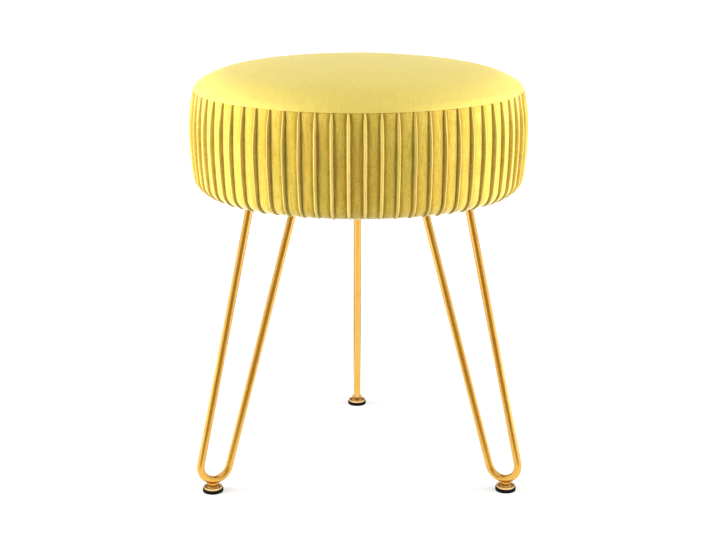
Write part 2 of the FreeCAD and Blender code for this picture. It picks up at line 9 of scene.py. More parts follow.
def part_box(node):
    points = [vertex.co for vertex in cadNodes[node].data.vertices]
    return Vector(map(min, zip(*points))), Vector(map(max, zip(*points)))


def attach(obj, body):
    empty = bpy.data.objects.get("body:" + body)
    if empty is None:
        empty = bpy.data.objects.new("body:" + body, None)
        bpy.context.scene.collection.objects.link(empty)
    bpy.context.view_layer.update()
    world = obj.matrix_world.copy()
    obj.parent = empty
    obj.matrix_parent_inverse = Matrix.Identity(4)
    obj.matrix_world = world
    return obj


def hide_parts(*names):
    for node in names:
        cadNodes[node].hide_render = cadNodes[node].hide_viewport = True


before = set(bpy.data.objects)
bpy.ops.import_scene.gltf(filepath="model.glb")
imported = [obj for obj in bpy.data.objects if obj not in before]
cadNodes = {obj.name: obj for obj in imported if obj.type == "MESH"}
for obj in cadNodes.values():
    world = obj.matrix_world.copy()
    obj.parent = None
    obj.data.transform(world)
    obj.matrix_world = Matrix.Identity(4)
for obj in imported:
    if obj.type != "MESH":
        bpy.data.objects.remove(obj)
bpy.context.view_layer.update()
scene = bpy.context.scene
mm = 0.001


# Small helpers

def addNode(tree, kind, inputs=None, **settings):
    node = tree.nodes.new(kind)
    for key, value in settings.items():
        setattr(node, key, value)
    for key, value in (inputs or {}).items():
        if isinstance(value, bpy.types.NodeSocket):
            tree.links.new(value, node.inputs[key])
        else:
            node.inputs[key].default_value = value
    return node


def newMaterial(name, **fixed):
    material = bpy.data.materials.new(name)
    material.use_nodes = True
    tree = material.node_tree
    shader = tree.nodes["Principled BSDF"]
    for key, value in fixed.items():
        shader.inputs[key].default_value = value
    return material, tree, shader


def objectPlace(tree, stretch=(1, 1, 1)):
    place = addNode(tree, "ShaderNodeTexCoord").outputs["Object"]
    if stretch == (1, 1, 1):
        return place
    return addNode(tree, "ShaderNodeMapping", {"Vector": place, "Scale": stretch}).outputs["Vector"]


def clothPlace(tree, stretch=(1, 1, 1)):
    place = addNode(tree, "ShaderNodeUVMap", uv_map="clothMap").outputs["UV"]
    return addNode(tree, "ShaderNodeMapping", {"Vector": place, "Scale": stretch}).outputs["Vector"]


def noiseAt(tree, place, scale, detail=3.0, roughness=0.55):
    found = {"Vector": place, "Scale": scale, "Detail": detail, "Roughness": roughness}
    return addNode(tree, "ShaderNodeTexNoise", found).outputs["Fac"]


def combine(tree, kind, first, second):
    return addNode(tree, "ShaderNodeMath", {0: first, 1: second}, operation=kind).outputs[0]


def spread(tree, value, low, high, newLow=0.0, newHigh=1.0):
    found = {"Value": value, "From Min": low, "From Max": high, "To Min": newLow, "To Max": newHigh}
    return addNode(tree, "ShaderNodeMapRange", found).outputs["Result"]


def mixColour(tree, factor, first, second, kind="MIX"):
    mixer = addNode(tree, "ShaderNodeMix", data_type="RGBA", blend_type=kind)
    for index, value in ((0, factor), (6, first), (7, second)):
        if isinstance(value, bpy.types.NodeSocket):
            tree.links.new(value, mixer.inputs[index])
        else:
            mixer.inputs[index].default_value = value if index == 0 else (*value, 1)
    return mixer.outputs[2]


def bumpOn(tree, shader, layers):
    # Layers of (height, strength, depth in metres), the broadest first
    normal = None
    for height, strength, depth in layers:
        found = {"Height": height, "Strength": strength, "Distance": depth}
        if normal:
            found["Normal"] = normal
        normal = addNode(tree, "ShaderNodeBump", found).outputs["Normal"]
    tree.links.new(normal, shader.inputs["Normal"])


def smooth(low, high, value):
    share = min(1.0, max(0.0, (value - low) / (high - low)))
    return share * share * (3 - 2 * share)


def arcPoints(centre, radius, fromTurn, toTurn, count):
    # Turns in degrees from straight up, growing outwards
    points = []
    for index in range(count + 1):
        turn = math.radians(fromTurn + (toTurn - fromTurn) * index / count)
        points.append((centre[0] + radius * math.sin(turn), centre[1] + radius * math.cos(turn)))
    return points


def spinProfile(profile, columns, closed):
    # Spins (radius, height) points round the upright axis and keeps each point's row number
    mesh = bmesh.new()
    rowLayer = mesh.verts.layers.float.new("row")
    line = []
    for row, (radius, height) in enumerate(profile):
        vertex = mesh.verts.new((radius, 0, height))
        vertex[rowLayer] = row
        line.append(vertex)
    edges = [mesh.edges.new(pair) for pair in zip(line, line[1:])]
    if closed:
        edges.append(mesh.edges.new((line[-1], line[0])))
    bmesh.ops.spin(mesh, geom=line + edges, cent=(0, 0, 0), axis=(0, 0, 1),
                   angle=2 * math.pi, steps=columns, use_merge=True)
    bmesh.ops.remove_doubles(mesh, verts=mesh.verts, dist=0.000001)
    bmesh.ops.recalc_face_normals(mesh, faces=mesh.faces)
    return mesh, rowLayer


def finishPiece(name, mesh, material, body, levels=0, flat=False):
    for face in mesh.faces:
        face.smooth = not flat
    data = bpy.data.meshes.new(name)
    mesh.to_mesh(data)
    mesh.free()
    piece = bpy.data.objects.new(name, data)
    scene.collection.objects.link(piece)
    data.materials.append(material)
    if levels:
        finer = piece.modifiers.new("finer", "SUBSURF")
        finer.levels = levels
        finer.render_levels = levels
    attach(piece, body)
    return piece


# Camera, stage and light

view = {
    "place": (-0.0170, -1.5679, 0.6366),    # fitted to the seat, the rods and the three feet
    "pitch": 15.09,                         # degrees below level
    "turn": -0.6,                           # degrees round the upright
    "lens": 77.0,
}


def makeCamera():
    camera = bpy.data.objects.new("camera", bpy.data.cameras.new("camera"))
    scene.collection.objects.link(camera)
    camera.data.lens = view["lens"]
    camera.data.sensor_width = 36
    camera.data.sensor_fit = "HORIZONTAL"
    camera.data.clip_end = 60
    camera.location = view["place"]
    camera.rotation_euler = (math.radians(90 - view["pitch"]), 0, math.radians(view["turn"]))
    scene.camera = camera


studio = {
    "floorRadius": 15.0,
    "floorTone": 0.50,
    "nearGlow": 0.47,           # white share of the floor by the feet, on top of its own light
    "farGlow": 1.0,
    "glowReach": (0.45, 2.2),   # metres from the stool
    "ambient": 0.30,
    "sideBox": (1.9, 1.1),      # metres
    "sidePlace": (1.9, -0.22, 0.56),
    "leftPower": 98.0,
    "rightPower": 88.0,
    "topBox": (1.6, 1.6),
    "topPlace": (0, 0.25, 2.1),
    "topPower": 11.0,
    "flagTone": 0.44,           # dark cards, before and behind the stool, that shape the metal's gloss
    "flagNear": 0.27,
    "flagFar": 2.3,
    "flagHeight": 1.7,
    "flagSpan": 88,             # degrees
}


def rayShare(tree):
    # One for what the camera, gloss or glass looks at, so that all of them see the white room
    path = addNode(tree, "ShaderNodeLightPath")
    share = combine(tree, "ADD", path.outputs["Is Camera Ray"], path.outputs["Is Glossy Ray"])
    share = combine(tree, "ADD", share, path.outputs["Is Transmission Ray"])
    return combine(tree, "MINIMUM", share, 1.0)


def stagePiece(name, mesh, material):
    data = bpy.data.meshes.new(name)
    mesh.to_mesh(data)
    mesh.free()
    piece = bpy.data.objects.new(name, data)
    scene.collection.objects.link(piece)
    data.materials.append(material)
    return piece


def makeFloor():
    mesh = bmesh.new()
    bmesh.ops.create_circle(mesh, cap_ends=True, segments=96, radius=studio["floorRadius"])
    material, tree, shader = newMaterial("paleFloor")
    tree.nodes.remove(shader)
    tone = studio["floorTone"]
    matt = addNode(tree, "ShaderNodeBsdfDiffuse", {"Color": (tone, tone, tone, 1)}).outputs[0]
    away = addNode(tree, "ShaderNodeVectorMath", {0: objectPlace(tree)}, operation="LENGTH").outputs["Value"]
    glow = spread(tree, away, *studio["glowReach"], studio["nearGlow"], studio["farGlow"])
    glow = combine(tree, "MULTIPLY", rayShare(tree), glow)
    light = addNode(tree, "ShaderNodeEmission", {"Strength": glow}).outputs[0]
    both = addNode(tree, "ShaderNodeAddShader", {0: matt, 1: light}).outputs[0]
    tree.links.new(both, tree.nodes["Material Output"].inputs["Surface"])
    stagePiece("floor", mesh, material)


def makeFlags():
    # Two swept cards that only gloss sees: along the floor, then up
    near, far, height = studio["flagNear"], studio["flagFar"], studio["flagHeight"]
    tone = studio["flagTone"]
    material, tree, shader = newMaterial("darkCard")
    tree.nodes.remove(shader)
    light = addNode(tree, "ShaderNodeEmission", {"Color": (tone, tone * 0.76, tone * 0.45, 1)}).outputs[0]
    tree.links.new(light, tree.nodes["Material Output"].inputs["Surface"])
    for name, middle in (("frontFlag", -90), ("backFlag", 90)):
        mesh = bmesh.new()
        corners = ((near, 0, 0.002), (far, 0, 0.002), (far + 0.15, 0, height))
        line = [mesh.verts.new(place) for place in corners]
        edges = [mesh.edges.new(pair) for pair in zip(line, line[1:])]
        bmesh.ops.spin(mesh, geom=line + edges, cent=(0, 0, 0), axis=(0, 0, 1),
                       angle=math.radians(studio["flagSpan"]), steps=16)
        mesh.transform(Matrix.Rotation(math.radians(middle - studio["flagSpan"] / 2), 4, "Z"))
        card = stagePiece(name, mesh, material)
        card.visible_camera = False
        card.visible_diffuse = False
        card.visible_transmission = False
        card.visible_shadow = False


def makeRoom():
    world = bpy.data.worlds.new("room")
    scene.world = world
    world.use_nodes = True
    tree = world.node_tree
    ambient = studio["ambient"]
    tone = mixColour(tree, rayShare(tree), (ambient, ambient, ambient), (1, 1, 1))
    tree.links.new(tone, tree.nodes["Background"].inputs["Color"])


def addSoftbox(name, size, place, power, aim=(0, 0, 0.3)):
    lamp = bpy.data.lights.new(name, "AREA")
    lamp.shape = "RECTANGLE"
    lamp.size, lamp.size_y = size
    lamp.energy = power
    box = bpy.data.objects.new(name, lamp)
    scene.collection.objects.link(box)
    box.location = place
    box.rotation_euler = (Vector(aim) - Vector(place)).to_track_quat("-Z", "Y").to_euler()
    box.visible_camera = False
    box.visible_glossy = False


def makeLights():
    across, back, up = studio["sidePlace"]
    addSoftbox("leftBox", studio["sideBox"], (-across, back, up), studio["leftPower"])
    addSoftbox("rightBox", studio["sideBox"], (across, back, up), studio["rightPower"])
    addSoftbox("topBox", studio["topBox"], studio["topPlace"], studio["topPower"])
    scene.view_settings.view_transform = "Standard"


# Materials

velvetTones = {
    "olive": (0.50, 0.375, 0.030),
    "golden": (0.65, 0.400, 0.042),
    "plain": (0.67, 0.475, 0.055),
    # Paler top tone: painted sheen, the same velvet as the band made lighter
    "top": (0.70, 0.575, 0.140),
    "shade": (0.40, 0.265, 0.020),
    "pale": (0.77, 0.600, 0.130),
    # Crest tone: partly crushed pile, partly painted highlight. Crease tone: painted shade in the creases
    "crest": (0.66, 0.51, 0.130),
    "crease": (0.30, 0.175, 0.005),
    "sheen": (0.95, 0.98, 0.80, 1),
}


def makeVelvet(name, base, patchShare, streakShare, foldWearAndPaintedLightShare, sheenWeight):
    tones = velvetTones
    material, tree, shader = newMaterial(name)
    shader.inputs["Sheen Weight"].default_value = sheenWeight
    shader.inputs["Sheen Roughness"].default_value = 0.42
    shader.inputs["Sheen Tint"].default_value = tones["sheen"]
    shader.inputs["Specular IOR Level"].default_value = 0.15
    place = objectPlace(tree)
    # Cloudy nap, long upright patches of olive and gold, and fine streaks along the cloth
    broad = noiseAt(tree, place, 16, 2.0)
    nap = noiseAt(tree, place, 75, 4.0, 0.6)
    lay = combine(tree, "ADD", combine(tree, "MULTIPLY", broad, 0.5), combine(tree, "MULTIPLY", nap, 0.5))
    patch = noiseAt(tree, objectPlace(tree, (1, 1, 0.22)), 42, 2.0)
    colour = mixColour(tree, spread(tree, patch, 0.38, 0.62), tones["olive"], tones["golden"])
    colour = mixColour(tree, patchShare, tones[base], colour)
    colour = mixColour(tree, spread(tree, lay, 0.40, 0.66, 0.0, 0.55), colour, tones["pale"])
    streaks = noiseAt(tree, clothPlace(tree, (1, 0.12, 1)), 480, 3.0, 0.75)
    grain = noiseAt(tree, clothPlace(tree, (1, 0.6, 1)), 620, 3.0, 0.75)
    colour = mixColour(tree, spread(tree, streaks, 0.42, 0.62, 0.0, streakShare), colour, tones["shade"])
    colour = mixColour(tree, spread(tree, grain, 0.42, 0.62, 0.0, 0.38), colour, tones["pale"])
    # Painted light along the folds: paler crests (partly crushed pile, partly painted highlight) and darker
    # creases (painted shade)
    foldWearAndPaintedLight = addNode(tree, "ShaderNodeAttribute", attribute_name="foldWearAndPaintedLight").outputs["Fac"]
    colour = mixColour(tree, spread(tree, foldWearAndPaintedLight, 0.0, 1.0, 0.0, foldWearAndPaintedLightShare), colour, tones["crest"])
    colour = mixColour(tree, spread(tree, foldWearAndPaintedLight, 0.0, -1.0, 0.0, foldWearAndPaintedLightShare * 0.42), colour, tones["crease"])
    tree.links.new(colour, shader.inputs["Base Color"])
    tree.links.new(spread(tree, nap, 0.3, 0.7, 0.78, 0.95), shader.inputs["Roughness"])
    weave = addNode(tree, "ShaderNodeTexWave", {"Vector": clothPlace(tree), "Scale": 350.0, "Distortion": 1.2,
                                               "Detail": 2.0, "Detail Scale": 0.6}).outputs["Fac"]
    pile = noiseAt(tree, place, 2600, 2.0, 0.7)
    bumpOn(tree, shader, [(nap, 0.25, 0.0008), (weave, 0.12, 0.0002), (streaks, 0.35, 0.0004),
                          (grain, 0.3, 0.0003), (pile, 0.25, 0.00015)])
    return material


goldTones = {
    "plain": (0.82, 0.46, 0.075),
    "warm": (0.76, 0.39, 0.050),
    "pale": (0.86, 0.54, 0.115),
    "disc": (0.90, 0.72, 0.42),
    # Painted shade for the groove of the foot's disc
    "groove": (0.22, 0.115, 0.015),
}


def makeGold(name, roughness, alongScale, recessTop=0.0):
    tones = goldTones
    material, tree, shader = newMaterial(name, Metallic=1.0)
    shader.inputs["Coat Weight"].default_value = 0.6
    shader.inputs["Coat Roughness"].default_value = 0.16
    place = objectPlace(tree)
    cloud = noiseAt(tree, place, 34, 3.0)
    lines = noiseAt(tree, objectPlace(tree, (1, 1, alongScale)), 1500, 3.0, 0.6)
    colour = mixColour(tree, spread(tree, cloud, 0.3, 0.7), tones["warm"], tones["pale"])
    colour = mixColour(tree, 0.55, colour, tones["plain"])
    if recessTop:
        # Painted shade in the groove of the disc: level faces that lie lower than its rim are darkened
        height = addNode(tree, "ShaderNodeSeparateXYZ", {0: place}).outputs["Z"]
        facing = addNode(tree, "ShaderNodeNewGeometry").outputs["Normal"]
        level = addNode(tree, "ShaderNodeSeparateXYZ", {0: facing}).outputs["Z"]
        inShadedGroove = combine(tree, "MULTIPLY", combine(tree, "LESS_THAN", height, recessTop),
                           combine(tree, "GREATER_THAN", level, 0.5))
        colour = mixColour(tree, inShadedGroove, mixColour(tree, 0.5, colour, tones["disc"]), tones["groove"])
    tree.links.new(colour, shader.inputs["Base Color"])
    gloss = spread(tree, lines, 0.3, 0.7, roughness - 0.03, roughness + 0.04)
    tree.links.new(gloss, shader.inputs["Roughness"])
    speck = noiseAt(tree, place, 420, 2.0)
    bumpOn(tree, shader, [(speck, 0.03, 0.0003), (lines, 0.03, 0.0001)])
    return material


def makeRubber():
    material, tree, shader = newMaterial("padRubber")
    shader.inputs["Specular IOR Level"].default_value = 0.08
    place = objectPlace(tree)
    cloud = noiseAt(tree, place, 160, 4.0)
    colour = mixColour(tree, spread(tree, cloud, 0.35, 0.7), (0.0018, 0.0016, 0.0015), (0.007, 0.006, 0.0055))
    tree.links.new(colour, shader.inputs["Base Color"])
    tree.links.new(spread(tree, cloud, 0.3, 0.7, 0.55, 0.75), shader.inputs["Roughness"])
    bumpOn(tree, shader, [(noiseAt(tree, place, 1800, 3.0), 0.3, 0.0003)])
    return material


def makeDustCloth():
    material, tree, shader = newMaterial("dustCloth")
    shader.inputs["Sheen Weight"].default_value = 0.3
    shader.inputs["Sheen Roughness"].default_value = 0.5
    place = objectPlace(tree)
    fibre = addNode(tree, "ShaderNodeTexVoronoi", {"Vector": place, "Scale": 620.0},
                    feature="DISTANCE_TO_EDGE").outputs["Distance"]
    felt = noiseAt(tree, place, 1100, 4.0, 0.7)
    cloud = noiseAt(tree, place, 60, 3.0)
    colour = mixColour(tree, spread(tree, felt, 0.3, 0.7), (0.010, 0.010, 0.011), (0.042, 0.041, 0.040))
    colour = mixColour(tree, spread(tree, cloud, 0.4, 0.75, 0.0, 0.5), colour, (0.055, 0.053, 0.050))
    tree.links.new(colour, shader.inputs["Base Color"])
    tree.links.new(spread(tree, felt, 0.3, 0.7, 0.8, 0.97), shader.inputs["Roughness"])
    bumpOn(tree, shader, [(felt, 0.5, 0.0004), (fibre, 0.4, 0.0004)])
    return material


def makeFoam(name, pale, dark, cellScale):
    material, tree, shader = newMaterial(name, Roughness=0.9)
    shader.inputs["Specular IOR Level"].default_value = 0.2
    place = objectPlace(tree)
    cells = addNode(tree, "ShaderNodeTexVoronoi", {"Vector": place, "Scale": cellScale}).outputs["Distance"]
    cloud = noiseAt(tree, place, 30, 3.0)
    colour = mixColour(tree, spread(tree, cells, 0.0, 0.5), dark, pale)
    colour = mixColour(tree, spread(tree, cloud, 0.4, 0.7, 0.0, 0.4), colour, dark)
    tree.links.new(colour, shader.inputs["Base Color"])
    bumpOn(tree, shader, [(cells, 0.5, 0.0006)])
    return material


def makePlywood():
    material, tree, shader = newMaterial("birchPly", Roughness=0.6)
    grain = noiseAt(tree, objectPlace(tree, (1, 14, 14)), 18, 5.0, 0.6)
    found = {"Vector": objectPlace(tree), "Scale": 115.0, "Distortion": 0.4}
    plies = addNode(tree, "ShaderNodeTexWave", found, bands_direction="Z").outputs["Fac"]
    colour = mixColour(tree, spread(tree, grain, 0.3, 0.7), (0.62, 0.42, 0.22), (0.78, 0.60, 0.38))
    colour = mixColour(tree, spread(tree, plies, 0.5, 0.9, 0.0, 0.45), colour, (0.40, 0.24, 0.11))
    tree.links.new(colour, shader.inputs["Base Color"])
    bumpOn(tree, shader, [(grain, 0.25, 0.0004)])
    return material


def makeSteel(name, dark, pale, metallic, roughness):
    material, tree, shader = newMaterial(name, Metallic=metallic)
    place = objectPlace(tree)
    cloud = noiseAt(tree, place, 240, 4.0, 0.6)
    colour = mixColour(tree, spread(tree, cloud, 0.3, 0.7), dark, pale)
    tree.links.new(colour, shader.inputs["Base Color"])
    tree.links.new(spread(tree, cloud, 0.3, 0.7, roughness - 0.07, roughness + 0.1), shader.inputs["Roughness"])
    bumpOn(tree, shader, [(cloud, 0.08, 0.0003)])
    return material


# Top panel: crowned velvet disc, its edge rolled in at the seam

crown = {
    "seamRadius": 169 * mm,
    "edgeHeight": 409.5 * mm,
    "turns": (6.0, 31.0, 60.0),     # slope where each arc ends, degrees
    "shoulderBow": 97.4 * mm,
    "rimBow": 20 * mm,
    "edgeRoll": 0.65 * mm,
    "cloth": 1.2 * mm,
    "swell": 1.0 * mm,              # how far the simulation may lift the cloth
    "slump": 0.008,                 # the crown sits a little lower on the right
    "puckerDepth": 0.38 * mm,
    "puckerReach": 11 * mm,
    "seamWander": 0.35 * mm,
}

tucks = {
    "count": 68,
    "firstTurn": -93.8,             # azimuth, degrees
    # Across one tuck: mm from its middle, share of the height, lightness of the fold, which is a paler crest
    # (partly crushed pile, partly painted highlight) and painted shade at its foot
    "section": ((0.0, 1.0, 1.0), (0.72, 0.94, 0.95), (1.18, 0.62, 0.6), (1.55, 0.14, -0.6)),
    # Panel beside it: mm from the middle, share of the puff, share of the crease, lightness, below zero as
    # painted shade in the crease
    "panel": ((2.0, 0.0, 0.9, -1.0), (3.0, 0.62, 0.12, -0.3), (4.9, 0.88, 0.0, -0.12), (8.0, 1.0, 0.0, 0.0)),
    "creaseDepth": 1.1,
    "panelPuff": 1.35,
    "topPinch": 0.5,                # share of the width at the seam
    "pinchReach": 12.0,
    "tipDrop": 0.9,
    "tailRadius": 146.0,
    "wander": 0.30,
    "lean": 0.45,
}


def crownProfile(lift=0.0):
    # From the middle of the crown out to the edge, lifted off its own line
    first, second, third = (math.radians(turn) for turn in crown["turns"])
    shoulder, rim = crown["shoulderBow"], crown["rimBow"]
    reach = shoulder * (math.sin(second) - math.sin(first)) + rim * (math.sin(third) - math.sin(second))
    bow = (crown["seamRadius"] - reach) / math.sin(first)
    rimCentre = (crown["seamRadius"] - rim * math.sin(third), crown["edgeHeight"] - rim * math.cos(third))
    shoulderCentre = (rimCentre[0] - (shoulder - rim) * math.sin(second),
                      rimCentre[1] - (shoulder - rim) * math.cos(second))
    crownCentre = (0.0, shoulderCentre[1] - (bow - shoulder) * math.cos(first))
    turns = crown["turns"]
    points = arcPoints(crownCentre, bow + lift, 0, turns[0], 13)
    points += arcPoints(shoulderCentre, shoulder + lift, turns[0], turns[1], 9)[1:]
    points += arcPoints(rimCentre, rim + lift, turns[1], turns[2], 7)[1:]
    return points


swelling = {
    "frames": 20,
    "quality": 4,
    "mass": 0.25,
    "stretchStiffness": 12,
    "shearStiffness": 4,
    "bendStiffness": 0.6,
    "pressure": 4.0,
}


def swellCloth(piece, pinned, start, cap):
    # Blows the cloth out from its start shape and holds it at its pins, then caps each point's way
    mesh = piece.data
    group = piece.vertex_groups.new(name="pinned")
    for index, weight in enumerate(pinned):
        if weight > 0:
            group.add([index], weight, "REPLACE")
    for vertex, place in zip(mesh.vertices, start):
        vertex.co = place
    cloth = piece.modifiers.new("cloth", "CLOTH")
    settings = cloth.settings
    settings.quality = swelling["quality"]
    settings.mass = swelling["mass"]
    settings.tension_stiffness = swelling["stretchStiffness"]
    settings.compression_stiffness = swelling["stretchStiffness"]
    settings.shear_stiffness = swelling["shearStiffness"]
    settings.bending_stiffness = swelling["bendStiffness"]
    settings.use_pressure = True
    settings.uniform_pressure_force = swelling["pressure"]
    settings.vertex_group_mass = "pinned"
    settings.effector_weights.gravity = 0.0
    cloth.collision_settings.use_collision = False
    for number in range(swelling["frames"]):
        scene.frame_set(number + 1)
    graph = bpy.context.evaluated_depsgraph_get()
    moved = piece.evaluated_get(graph).data
    places = [vertex.co.copy() for vertex in moved.vertices]
    piece.modifiers.remove(cloth)
    piece.vertex_groups.clear()
    scene.frame_set(1)
    largest = 0.0
    for vertex, first, place in zip(mesh.vertices, start, places):
        way = place - first
        if way.length > cap:
            way *= cap / way.length
        largest = max(largest, way.length)
        vertex.co = first + way
    print(piece.name, "cloth moved", round(largest / mm, 2), "mm at most")


def makeTopPanel(material):
    columns = tucks["count"] * 4
    outer = crownProfile()
    roll = crown["edgeRoll"]
    turn = crown["turns"][2]
    edge = (outer[-1][0] - roll * math.sin(math.radians(turn)),
            outer[-1][1] - roll * math.cos(math.radians(turn)))
    outer += arcPoints(edge, roll, turn, 180, 4)[1:]
    lastOuter = len(outer)
    inner = [point for point in crownProfile(-crown["cloth"])[::3] if point[0] < 164 * mm]
    inside = [(165.5 * mm, outer[-1][1] + 0.1 * mm), (165.0 * mm, inner[-1][1] - 0.3 * mm)]
    profile = outer + inside + inner[::-1]
    mesh, rowLayer = spinProfile(profile, columns, False)
    draw = random.Random(11)
    puckers = [draw.uniform(0.55, 1.25) for number in range(tucks["count"])]
    rim = outer[-5][0]
    step = 2 * math.pi / tucks["count"]
    foldWearAndPaintedLightLayer = mesh.verts.layers.float.new("foldWearAndPaintedLight")
    for vertex in mesh.verts:
        radius = math.hypot(vertex.co.x, vertex.co.y)
        if vertex[rowLayer] > lastOuter or radius < 0.001:
            continue
        angle = math.atan2(vertex.co.y, vertex.co.x)
        place = (angle - math.radians(tucks["firstTurn"])) / step
        near = puckers[round(place) % tucks["count"]]
        closeness = 1 - smooth(0, crown["puckerReach"], rim - radius)
        ripple = math.cos(2 * math.pi * place)
        outward = Vector((vertex.co.x, vertex.co.y, radius * 0.9)).normalized()
        vertex.co += outward * crown["puckerDepth"] * near * closeness ** 2 * (ripple * 0.5 - 0.1)
        wander = noise.noise(Vector((math.cos(angle), math.sin(angle), 0)) * 3.1)
        vertex.co.z += wander * crown["seamWander"] * closeness
        dent = noise.noise(vertex.co * 13) * 0.5 * mm * (1 - closeness)
        vertex.co.z += dent - crown["slump"] * max(0.0, vertex.co.x) * (1 - closeness)
        # Paler pucker ridges by the seam: partly crushed pile, partly painted highlight
        vertex[foldWearAndPaintedLightLayer] = 0.5 * closeness * max(0.0, ripple)
    uvLayer = mesh.loops.layers.uv.new("clothMap")
    for face in mesh.faces:
        for loop in face.loops:
            loop[uvLayer].uv = (loop.vert.co.x, loop.vert.co.y)
    piece = finishPiece("topPanel", mesh, material, "root")
    pins, start = [], []
    swell = crown["swell"]
    for place in [vertex.co.copy() for vertex in piece.data.vertices]:
        radius = math.hypot(place.x, place.y)
        free = 1 - smooth(120 * mm, 160 * mm, radius)
        pins.append(1 - free if radius < 167 * mm else 1.0)
        start.append(place - Vector((0, 0, swell * free)))
    swellCloth(piece, pins, start, swell)
    finer = piece.modifiers.new("finer", "SUBSURF")
    finer.levels = finer.render_levels = 1
    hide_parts("top_panel")
    print("top panel made")
    return piece


# Side band: one closed shell of backed velvet, 68 standing tucks, turned in under the hem

band = {
    "girthRadius": 171.0,           # millimetres from here on
    "girthHeight": 368.0,
    "upperBow": 293.0,
    "lowerBow": 502.0,
    "cornerRound": 15.6,
    "hemHeight": 305.5,
    "seamHeight": 408.4,
    "seamRoll": 0.9,
    "turnUnder": 140.0,
    "wall": 4.0,
    "crestGirth": 175.0,
    "crestUpperBow": 155.0,
    "crestLowerBow": 340.0,
    "swell": 0.7,
}


def sideRadius(height, gap=0.0):
    bow = band["upperBow"] if height > band["girthHeight"] else band["lowerBow"]
    fall = height - band["girthHeight"]
    return band["girthRadius"] - bow + math.sqrt((bow - gap) ** 2 - fall ** 2)


def crestRadius(height):
    bow = band["crestUpperBow"] if height > band["girthHeight"] else band["crestLowerBow"]
    return band["crestGirth"] - bow + math.sqrt(bow ** 2 - (height - band["girthHeight"]) ** 2)


def bandProfile():
    # Rows of (radius, height, tuck height, tuck width share) in mm, from the seam down and back up inside
    corner = band["cornerRound"]
    low = band["hemHeight"]
    turn = math.asin((band["girthHeight"] - low - corner) / (band["lowerBow"] - corner))
    cornerMiddle = band["girthRadius"] - band["lowerBow"] + (band["lowerBow"] - corner) * math.cos(turn)
    cornerTop = low + corner - corner * math.sin(turn)
    roll = band["seamRoll"]
    topHeight = band["seamHeight"] - roll
    rows = []
    topMiddle = (sideRadius(topHeight) - roll, topHeight)
    for radius, height in arcPoints(topMiddle, roll, 0, 80, 2):
        share = (radius - topMiddle[0]) / roll
        rows.append((radius, height, (0.15 + 0.85 * share) * (crestRadius(height) - sideRadius(height))))
    heights = [topHeight - fall for fall in (1.2, 3.0, 5.5, 8.5, 12.5, 18, 25, 33, 41, 50, 59, 68, 76)]
    heights = [height for height in heights if height > cornerTop + 3] + [cornerTop + 4]
    for height in heights:
        rows.append((sideRadius(height), height, crestRadius(height) - sideRadius(height)))
    cornerHeight = crestRadius(cornerTop) - sideRadius(cornerTop)
    count = 7
    cornerArc = arcPoints((cornerMiddle, low + corner), corner, 90 + math.degrees(turn), 180, count)
    for index, (radius, height) in enumerate(cornerArc):
        share = index / count
        rows.append((radius, height, cornerHeight + (tucks["tipDrop"] - cornerHeight) * share ** 1.3))
    tail = cornerMiddle - tucks["tailRadius"]
    for share in (0.3, 0.62, 1.0):
        rows.append((cornerMiddle - tail * share, low, tucks["tipDrop"] * (1 - share)))
    outerRows = len(rows)
    rows.append((band["turnUnder"], low, 0))
    wall = band["wall"]
    rows.append((band["turnUnder"], low + wall, 0))
    rows.append((cornerMiddle, low + wall, 0))
    rows.append((cornerMiddle + (corner - wall) * 0.7, low + wall + (corner - wall) * 0.3, 0))
    for height in (cornerTop, 345, 368, 388, topHeight - 1):
        rows.append((sideRadius(height, wall), height, 0))
    rows.append((sideRadius(topHeight, wall), band["seamHeight"], 0))
    return rows, outerRows


